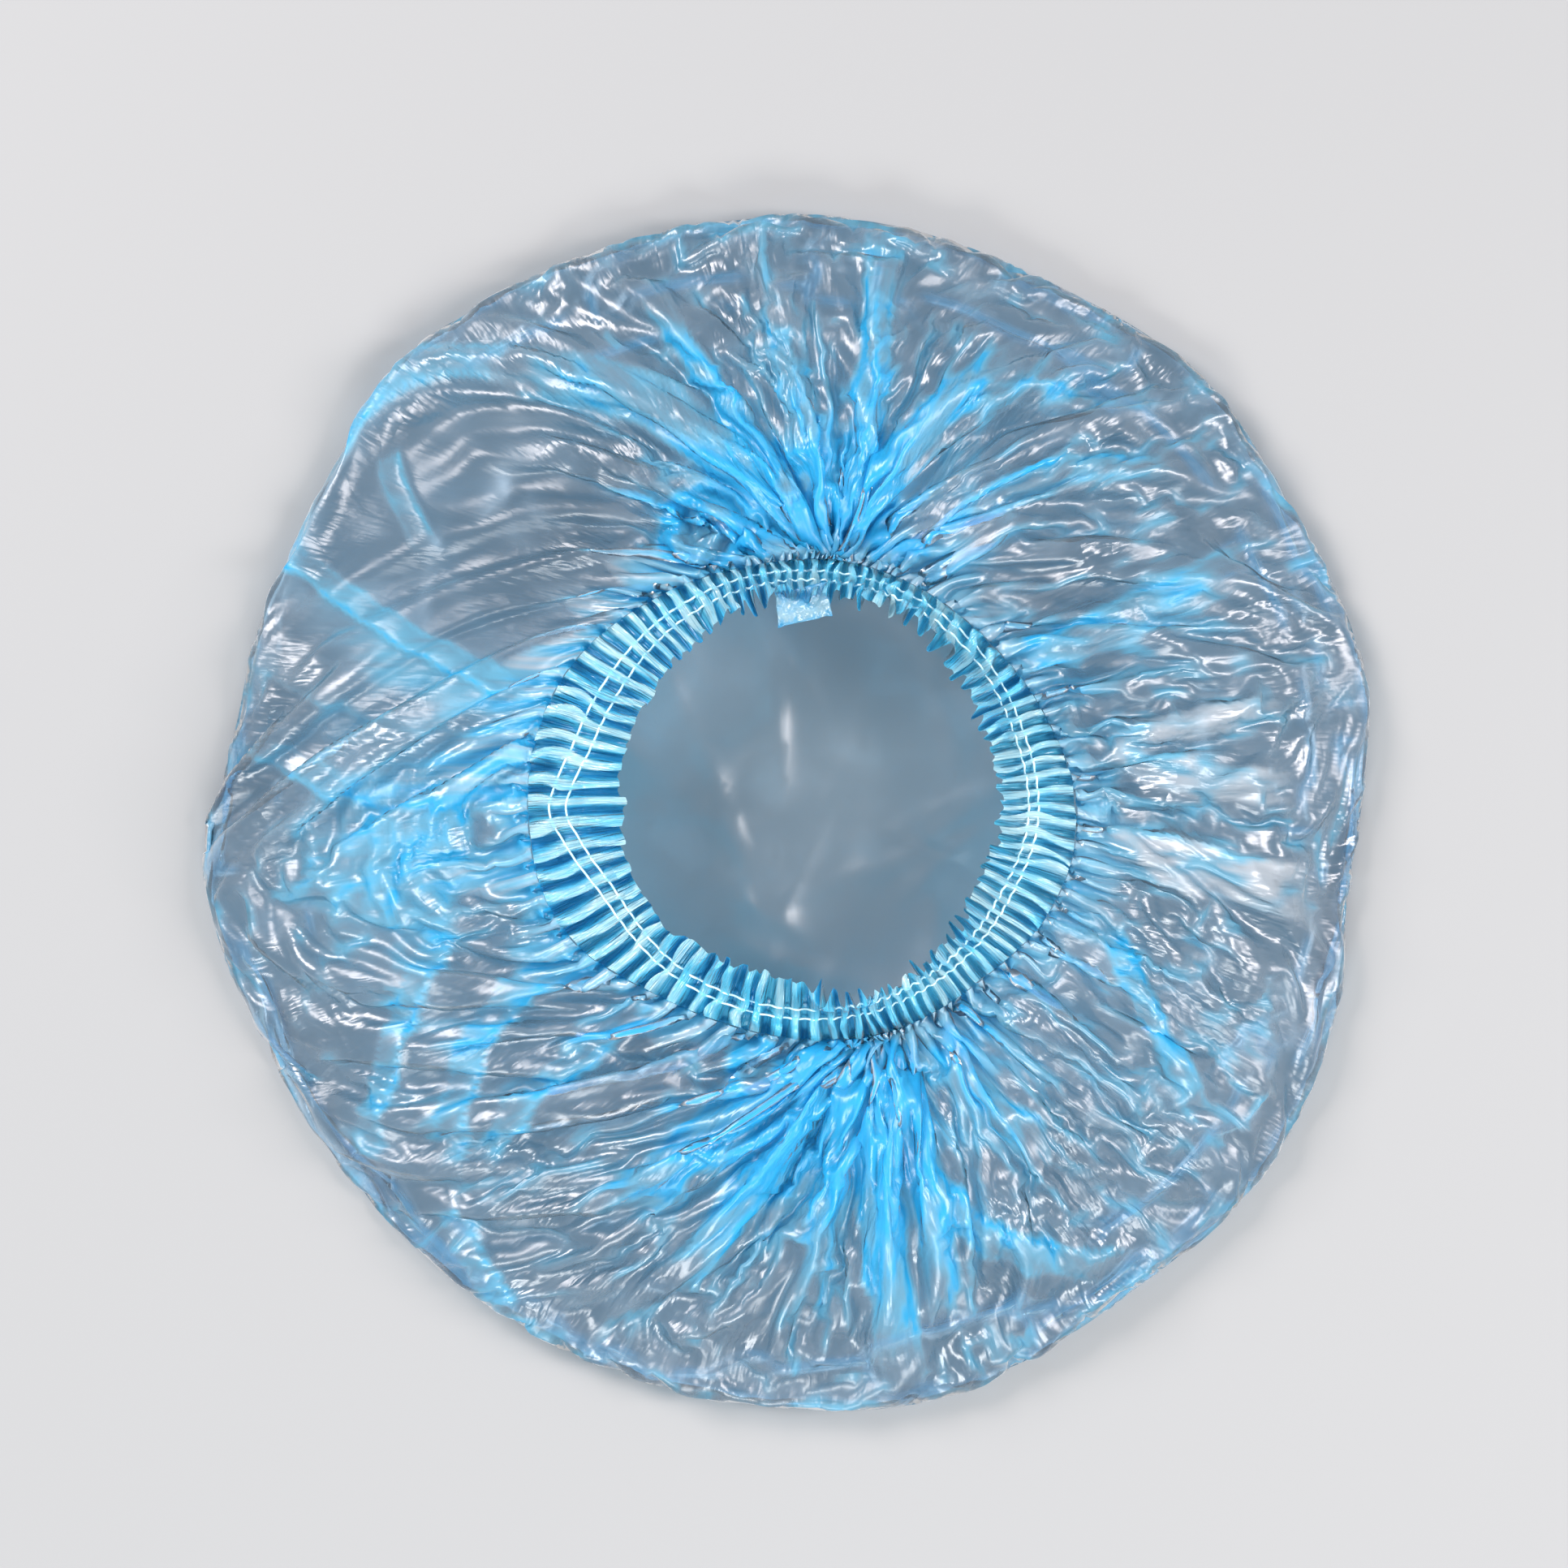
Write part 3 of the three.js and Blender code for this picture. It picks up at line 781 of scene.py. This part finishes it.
def thread_mesh(side):
    """An elastic thread, inside (-1) or outside (1) the elastic's middle, sunk in the pleats' valleys."""
    at, turn, n, sides = HEM_AT[::2], HEM_TURN[::2], len(HEM_AT) // 2, 8
    gap = 1.2 + 0.9 * np.exp(-(((np.mod(at - 165 + 180, 360) - 180) / 45) ** 2))
    inner, outer = around(HEM, "inner", at), around(HEM, "outer", at)
    share = (around(ELASTIC, "radius", at) + side * gap - inner) / (outer - inner)
    middle = on_hem(at, share, 0.6 + 0.45 * np.cos(turn * TURN))
    along = unit(np.roll(middle, -1, 0) - np.roll(middle, 1, 0))
    out = unit(np.cross(along, np.array([0, 0, 1.0])))
    lift = np.cross(out, along)
    ring = [k * TURN / sides for k in range(sides)]
    points = [middle + THREAD_THICKNESS * (math.cos(a) * out + math.sin(a) * lift) for a in ring]
    faces = []
    for k in range(sides):
        faces += between(k * n, (k + 1) % sides * n, n)
    return np.concatenate(points), faces


def tab_mesh():
    """The tab where the band was welded: a small flat sleeve of two films, bent and puckered."""
    rng = np.random.default_rng(11)
    long, wide = 30, 20
    puckers = smooth_noise(rng, (wide + 1, long), (6, 9))
    u, v = np.meshgrid(np.linspace(-1, 1, long + 1), np.linspace(-1, 1, wide + 1))
    puckers = np.concatenate([puckers, puckers[:, -1:]], 1)
    x = u * 6.2 * (1 + 0.03 * puckers * np.abs(v)) + 0.3 * v
    y = v * 3.9 * (1 + 0.05 * puckers * np.abs(u))
    seal = 0.22 * np.exp(-(((np.abs(v) - 0.72) / 0.09) ** 2)) * np.cos(u * 26)
    bend = 0.7 * u * u - 0.35 * np.cos(3.1 * u + 1) * v
    puff = 0.55 * (1 - np.abs(u) ** 3) * (1 - np.abs(v) ** 3)
    top = np.stack([x, y, bend + puff + 0.25 * puckers + seal], -1).reshape(-1, 3)
    low = np.stack([x, y, bend - 0.15 * puff - 0.25 + 0.12 * puckers], -1).reshape(-1, 3)
    faces, w, n = [], long + 1, (long + 1) * (wide + 1)
    for i in range(wide):
        for j in range(long):
            a = i * w + j
            faces.append((a, a + 1, a + w + 1, a + w))
            faces.append((n + a, n + a + w, n + a + w + 1, n + a + 1))
    rim = list(range(w)) + [i * w + long for i in range(1, wide + 1)]
    rim += [wide * w + j for j in range(long - 1, -1, -1)] + [i * w for i in range(wide - 1, 0, -1)]
    for a, b in zip(rim, rim[1:] + rim[:1]):
        faces.append((a, n + a, n + b, b))
    turn = math.radians(TAB["turn"])
    spin = np.array([[math.cos(turn), math.sin(turn), 0], [-math.sin(turn), math.cos(turn), 0], [0, 0, 1]])
    to = round_hem(TAB["angle"], TAB["radius"], TAB["height"])
    shade = np.clip(0.25 + 0.35 * puckers + 0.5 * np.abs(v) ** 4 - 2 * seal, 0, 1).ravel()
    return np.concatenate([top, low]) @ spin + to, faces, np.concatenate([shade, shade])


# ---------------------------------------------------------------- materials


class Nodes:
    """A short way to write a material's nodes."""

    def __init__(self, name):
        self.material = bpy.data.materials.new(name)
        self.material.use_nodes = True
        self.tree = self.material.node_tree
        self.tree.nodes.clear()

    def add(self, kind, inputs=None, **settings):
        node = self.tree.nodes.new("ShaderNode" + kind)
        for key, value in settings.items():
            setattr(node, key, value)
        for key, value in (inputs or {}).items():
            if isinstance(value, bpy.types.NodeSocket):
                self.tree.links.new(value, node.inputs[key])
            else:
                node.inputs[key].default_value = value
        return node

    def math(self, operation, a, b=0.0, c=None, clamp=False):
        inputs = {0: a, 1: b} if c is None else {0: a, 1: b, 2: c}
        return self.add("Math", inputs, operation=operation, use_clamp=clamp).outputs[0]

    def read(self, name, output="Fac"):
        """The values stored under a name by add_values."""
        return self.add("Attribute", attribute_name=name).outputs[output]

    def ramp(self, value, low, high, to_low=0.0, to_high=1.0):
        made = self.add("MapRange", {"Value": value, "From Min": low, "From Max": high, "To Min": to_low,
                                     "To Max": to_high}, interpolation_type="SMOOTHSTEP")
        return made.outputs["Result"]

    def noise(self, vector, scale, dimensions="2D"):
        made = self.add("TexNoise", {"Vector": vector, "Scale": scale, "Detail": 1.5, "Roughness": 0.6},
                        noise_dimensions=dimensions)
        return made.outputs["Fac"]

    def stray(self, vector, scale, amount):
        """The same place, moved a little at random."""
        away = self.add("TexNoise", {"Vector": vector, "Scale": scale, "Detail": 0.0}, noise_dimensions="2D")
        inputs = {0: away.outputs["Color"], 1: (amount,) * 3, 2: vector}
        return self.add("VectorMath", inputs, operation="MULTIPLY_ADD").outputs[0]

    def cells(self, vector, scale):
        """Distance from the middle of the nearest of many cells: the facets of crumpled film."""
        made = self.add("TexVoronoi", {"Vector": vector, "Scale": scale}, voronoi_dimensions="2D")
        return made.outputs["Distance"]

    def mix_colour(self, fac, a, b):
        return self.add("Mix", {0: fac, 6: a, 7: b}, data_type="RGBA").outputs[2]

    def mix_shader(self, fac, a, b):
        return self.add("MixShader", {0: fac, 1: a, 2: b}).outputs[0]

    def finish(self, surface):
        self.add("OutputMaterial", {"Surface": surface})
        return self.material


PASSED_ON = 0.64  # how much of a tint's light a shadow or bounced ray keeps


def comb(flats):
    """Coordinates in which lines from the middle outwards are five times as long as they are apart."""
    r = np.linalg.norm(flats[:, :2], axis=1, keepdims=True)
    out = flats[:, :2] / np.maximum(r, 1)
    return np.concatenate([120 * out, 0.2 * r], 1) * MM


def add_film(piece, flats, lines, density_and_shade):
    """Store what every film material reads."""
    add_values(piece, "flat", flats * MM)
    add_values(piece, "comb", lines)
    add_values(piece, "density_and_shade", density_and_shade)


def film_material(name, tints, milk, haze, bump=None):
    """Clear blue film: see-through and bright with crinkles where it is smooth, milky blue where it is
    bunched. tints and haze are pairs, for the clearest and the densest film, and milk has one between.
    bump is a pair, for its smoothest and most crinkled patches; without it the film has no crinkles.
    The camera sees all of it, and shadows and bounced light a shorter form."""
    n = Nodes(name)
    # The stored density also holds the pleats' painted highlights and painted shade.
    flat, layers_and_shade, cloud_and_sheen = n.read("flat", "Vector"), n.read("density_and_shade"), n.read("cloud_and_sheen")
    patch = n.noise(flat, 55.0)
    if bump:
        # Crinkles: combed lines and short sharp ridges, in the film's own flat coordinates.
        streaks = n.noise(n.read("comb", "Vector"), 420.0, "3D")
        density_and_shade = n.math("MULTIPLY", layers_and_shade, n.ramp(streaks, 0.3, 0.65, 0.85, 1.1))
        lines = n.math("ABSOLUTE", n.math("SUBTRACT", streaks, 0.5))
        facets = n.cells(n.stray(flat, 70.0, 0.012), 100.0)
        height = n.math("MULTIPLY_ADD", lines, 1.5, n.math("MULTIPLY_ADD", n.noise(flat, 240.0), 0.4, facets))
        eased = n.read("eased")
        patches = n.ramp(n.noise(flat, 26.0), 0.42, 0.64, *bump)
        crinkled = n.math("MULTIPLY", patches, n.ramp(eased, 0.0, 1.0, 1.0, 0.6))
        lively = n.ramp(eased, 0.0, 1.0, 1.0, 0.4)
    else:
        density_and_shade, height, crinkled, lively = layers_and_shade, patch, 0.05, 1.0
    density_and_shade = n.math("ADD", density_and_shade, n.ramp(patch, 0.5, 0.75, 0.0, 0.15), clamp=True)
    shape = n.add("Bump", {"Strength": crinkled, "Distance": 0.0022, "Height": height}).outputs[0]
    through = n.add("BsdfTransparent", {"Color": n.mix_colour(density_and_shade, *tints)}).outputs[0]
    colour = n.mix_colour(n.ramp(density_and_shade, 0.0, 0.5), milk[0], milk[1])
    colour = n.mix_colour(n.ramp(density_and_shade, 0.5, 1.0), colour, milk[2])
    front = n.add("BsdfDiffuse", {"Color": colour, "Normal": shape}).outputs[0]
    back = n.add("BsdfTranslucent", {"Color": colour, "Normal": shape}).outputs[0]
    # The second stored value makes the film milky where it is cloudy, and whitish where sheen is painted on
    # as a highlight.
    milky = n.math("MAXIMUM", n.ramp(density_and_shade, 0.0, 1.0, *haze), n.math("MULTIPLY", cloud_and_sheen, 0.9))
    body = n.mix_shader(milky, through, n.mix_shader(0.4, front, back))
    rough = n.ramp(patch, 0.3, 0.7, 0.29, 0.45)
    gloss = n.add("BsdfGlossy", {"Color": (1, 1, 1, 1), "Roughness": rough, "Normal": shape}).outputs[0]
    shine = n.add("Fresnel", {"IOR": 1.5, "Normal": shape}).outputs[0]
    lively = n.math("MULTIPLY", n.ramp(density_and_shade, 0.2, 1.0, 2.2, 1.2), lively)
    shine = n.math("MULTIPLY", shine, lively, clamp=True)
    seen = n.mix_shader(shine, body, gloss)
    # Shadow and bounced rays meet the same tint and haze, dimmed for what the crinkles turn away.
    dim = [(*(PASSED_ON * c for c in tint[:3]), 1) for tint in tints]
    through = n.add("BsdfTransparent", {"Color": n.mix_colour(layers_and_shade, *dim)}).outputs[0]
    back = n.add("BsdfTranslucent", {"Color": milk[1]}).outputs[0]
    passed = n.mix_shader(n.ramp(layers_and_shade, 0.0, 1.0, *haze), through, back)
    return n.finish(n.mix_shader(n.add("LightPath").outputs["Is Camera Ray"], passed, seen))


def solid_material(name, colour, dark, roughness):
    """Milky welded film or elastic: pale, a little uneven."""
    n = Nodes(name)
    place = n.add("TexCoord").outputs["Object"]
    mottle = n.noise(place, 900.0, "3D")
    colour = n.mix_colour(n.ramp(mottle, 0.35, 0.7), colour, dark)
    shape = n.add("Bump", {"Strength": 0.5, "Distance": 0.0003, "Height": mottle}).outputs[0]
    made = n.add("BsdfPrincipled", {"Base Color": colour, "Roughness": roughness, "Normal": shape})
    return n.finish(made.outputs[0])


# ---------------------------------------------------------------- the pieces

# Moves the middle of the outline's box over the frame's origin.
turns = np.arange(0, 360, 0.25)
outline_x = around(OUTLINE, "radius", turns) * np.cos(np.radians(turns))
outline_y = around(OUTLINE, "radius", turns) * np.sin(np.radians(turns))
SHIFT = np.array([-(outline_x.min() + outline_x.max()) / 2, -(outline_y.min() + outline_y.max()) / 2, 0])

film = fold_film()
points, flats, faces = film_mesh(film)
bag = new_mesh("film", points, faces, SHIFT)
surface = Surface(points, faces)


def on_skirt(values, count=len(points)):
    """Values on the folded film as values for every point, 0 on the crown."""
    found = np.zeros(count)
    found[: values.size] = values.ravel()
    return found


_, _, doubled, painted_sheen = main_folds(film.calm())
top = (film.share > film.fold_share).ravel()
doubled, painted_sheen = on_skirt(np.where(top, doubled, 0)), on_skirt(np.where(top, painted_sheen, 0))
# A thin whitish line along the roll of the outer edge: a painted highlight.
from_rim = np.abs(film.share - film.fold_share) * (film.flat[-1] - CROWN_RADIUS)
painted_sheen = np.maximum(painted_sheen, on_skirt(0.55 * np.exp(-((from_rim / 1.3) ** 2))))
crease = np.clip(surface.smooth(surface.bend(), 1) * 7 - 0.2, 0, 1)
steep = np.clip((surface.smooth(surface.steep(), 1) - 0.3) / 0.5, 0, 1)
density_and_shade = 0.4 * crease + 0.3 * steep + 0.85 * on_skirt(film.crowding())
density_and_shade = density_and_shade + doubled * (1.0 + 0.3 * crease + 0.2 * steep)
fringe = on_skirt(film.fringe())
# Beside the hem the film's pleats carry the same painted highlights along their tops' edges and painted shade
# in their valleys.
deep = around(FRINGE, "deep", hem_direction(film.theta))
pleats = FRINGE_CREST + 0.9 * deep * pleat_shade(np.radians(film.theta) * PLEATS)
shade = np.minimum(on_skirt(np.tile(pleats, film.rings)), 1)
density_and_shade = np.maximum(np.clip(density_and_shade, 0, 1) * (1 - fringe) + fringe * shade, 0.75 * doubled)
add_film(bag, flats, comb(flats), density_and_shade)
# The film is milky where the hem's pleats run into it, and whitish where sheen is painted on as a highlight.
add_values(bag, "cloud_and_sheen", np.maximum(fringe, painted_sheen))
add_values(bag, "eased", on_skirt(film.bulging()))
clear = {
    "tints": ((0.75, 0.865, 0.945, 1), (0.38, 0.74, 0.95, 1)),
    "milk": ((0.85, 0.9, 0.94, 1), (0.24, 0.72, 0.98, 1), (0.03, 0.53, 0.95, 1)),
    "haze": (0.03, 0.85),
}
bag.data.materials.append(film_material("clear_film", **clear, bump=(0.12, 0.38)))
bag.data.materials.append(film_material("smooth_film", **clear))
# The crown, and the film below the outer edge, have the material without crinkles.
smooth = np.ones(len(faces), int)
below = film.share[:-1] < film.fold_share - 0.03
smooth[: below.size] = below.ravel()
bag.data.polygons.foreach_set("material_index", smooth)

points, faces, shade = hem_mesh()
hem = new_mesh("hem", points, faces, SHIFT)
add_film(hem, points, comb(points - [*HEM_CENTRE, 0]), shade)
hem.data.materials.append(film_material(
    "hem_film", ((0.8, 0.95, 0.99, 1), (0.25, 0.6, 0.9, 1)),
    ((0.6, 0.92, 0.96, 1), (0.12, 0.72, 0.98, 1), (0.03, 0.4, 0.78, 1)), (0.75, 0.9), (0.5, 0.8)))

for node, side in (("elastic_thread_inner", -1), ("elastic_thread_outer", 1)):
    points, faces = thread_mesh(side)
    thread = new_mesh(node.replace("elastic_thread", "thread"), points, faces, SHIFT)
    thread.data.materials.append(solid_material("elastic", (0.72, 0.93, 0.97, 1), (0.45, 0.82, 0.94, 1), 0.4))
    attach(thread, "root")
    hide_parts(node)

for piece, node, slot in ((bag, "film_bag", "film"), (hem, "hem_ruffle", "hem")):
    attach(piece, "root")
    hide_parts(node)

points, faces, shade = tab_mesh()
tab = new_mesh("tab", points, faces, SHIFT)
add_film(tab, points, points * MM, shade)
tab.data.materials.append(film_material(
    "tab_film", ((0.8, 0.93, 0.98, 1), (0.4, 0.7, 0.93, 1)),
    ((0.5, 0.8, 0.9, 1), (0.2, 0.6, 0.84, 1), (0.05, 0.4, 0.7, 1)), (0.5, 0.8), (0.4, 0.6)))
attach(tab, "root")
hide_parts("elastic_tab")

# ---------------------------------------------------------------- floor, light and camera

bpy.ops.mesh.primitive_plane_add(size=6)
floor = bpy.context.object
floor.name = "floor"
grey = Nodes("floor")
paper = grey.add("BsdfPrincipled", {"Base Color": (0.35, 0.36, 0.363, 1), "Roughness": 0.75})
floor.data.materials.append(grey.finish(paper.outputs[0]))


def soft_light(name, place, energy, size, colour=(1, 1, 1)):
    data = bpy.data.lights.new(name, "AREA")
    data.shape = "RECTANGLE"
    data.size, data.size_y = size
    data.energy = energy
    data.color = colour
    lamp = bpy.data.objects.new(name, data)
    lamp.location = place
    lamp.rotation_euler = (Vector((0, 0, 0.02)) - Vector(place)).to_track_quat("-Z", "Y").to_euler()
    bpy.context.scene.collection.objects.link(lamp)


soft_light("key", (-0.85, 0.65, 0.95), 21, (0.6, 0.6), (1, 0.93, 0.93))
soft_light("fill", (0.95, -0.05, 0.85), 14, (0.35, 0.75), (1, 0.93, 0.93))
soft_light("front", (-0.1, -1.0, 0.85), 11, (0.7, 0.35))
world = bpy.data.worlds.new("studio")
world.use_nodes = True
world.node_tree.nodes["Background"].inputs["Color"].default_value = (0.9, 0.95, 1.0, 1)
world.node_tree.nodes["Background"].inputs["Strength"].default_value = 0.5

scene = bpy.context.scene
scene.world = world
scene.view_settings.view_transform = "Standard"
scene.cycles.transparent_max_bounces = 24
scene.cycles.max_bounces = 3
scene.cycles.diffuse_bounces = 1
scene.cycles.glossy_bounces = 1
scene.cycles.caustics_reflective = False

VIEW_CENTRE = (0.0006, 0.0068)  # the middle of the picture, from the middle of the outline
VIEW_WIDTH = 0.373
LENS = 100
SENSOR = 36
camera = bpy.data.objects.new("camera", bpy.data.cameras.new("camera"))
camera.data.lens = LENS
camera.data.sensor_width = SENSOR
centre = Vector((VIEW_CENTRE[0] + SHIFT[0] * MM, VIEW_CENTRE[1] + SHIFT[1] * MM, 0))
camera.location = centre + Vector((0, 0, VIEW_WIDTH * LENS / SENSOR))
scene.collection.objects.link(camera)
scene.camera = camera
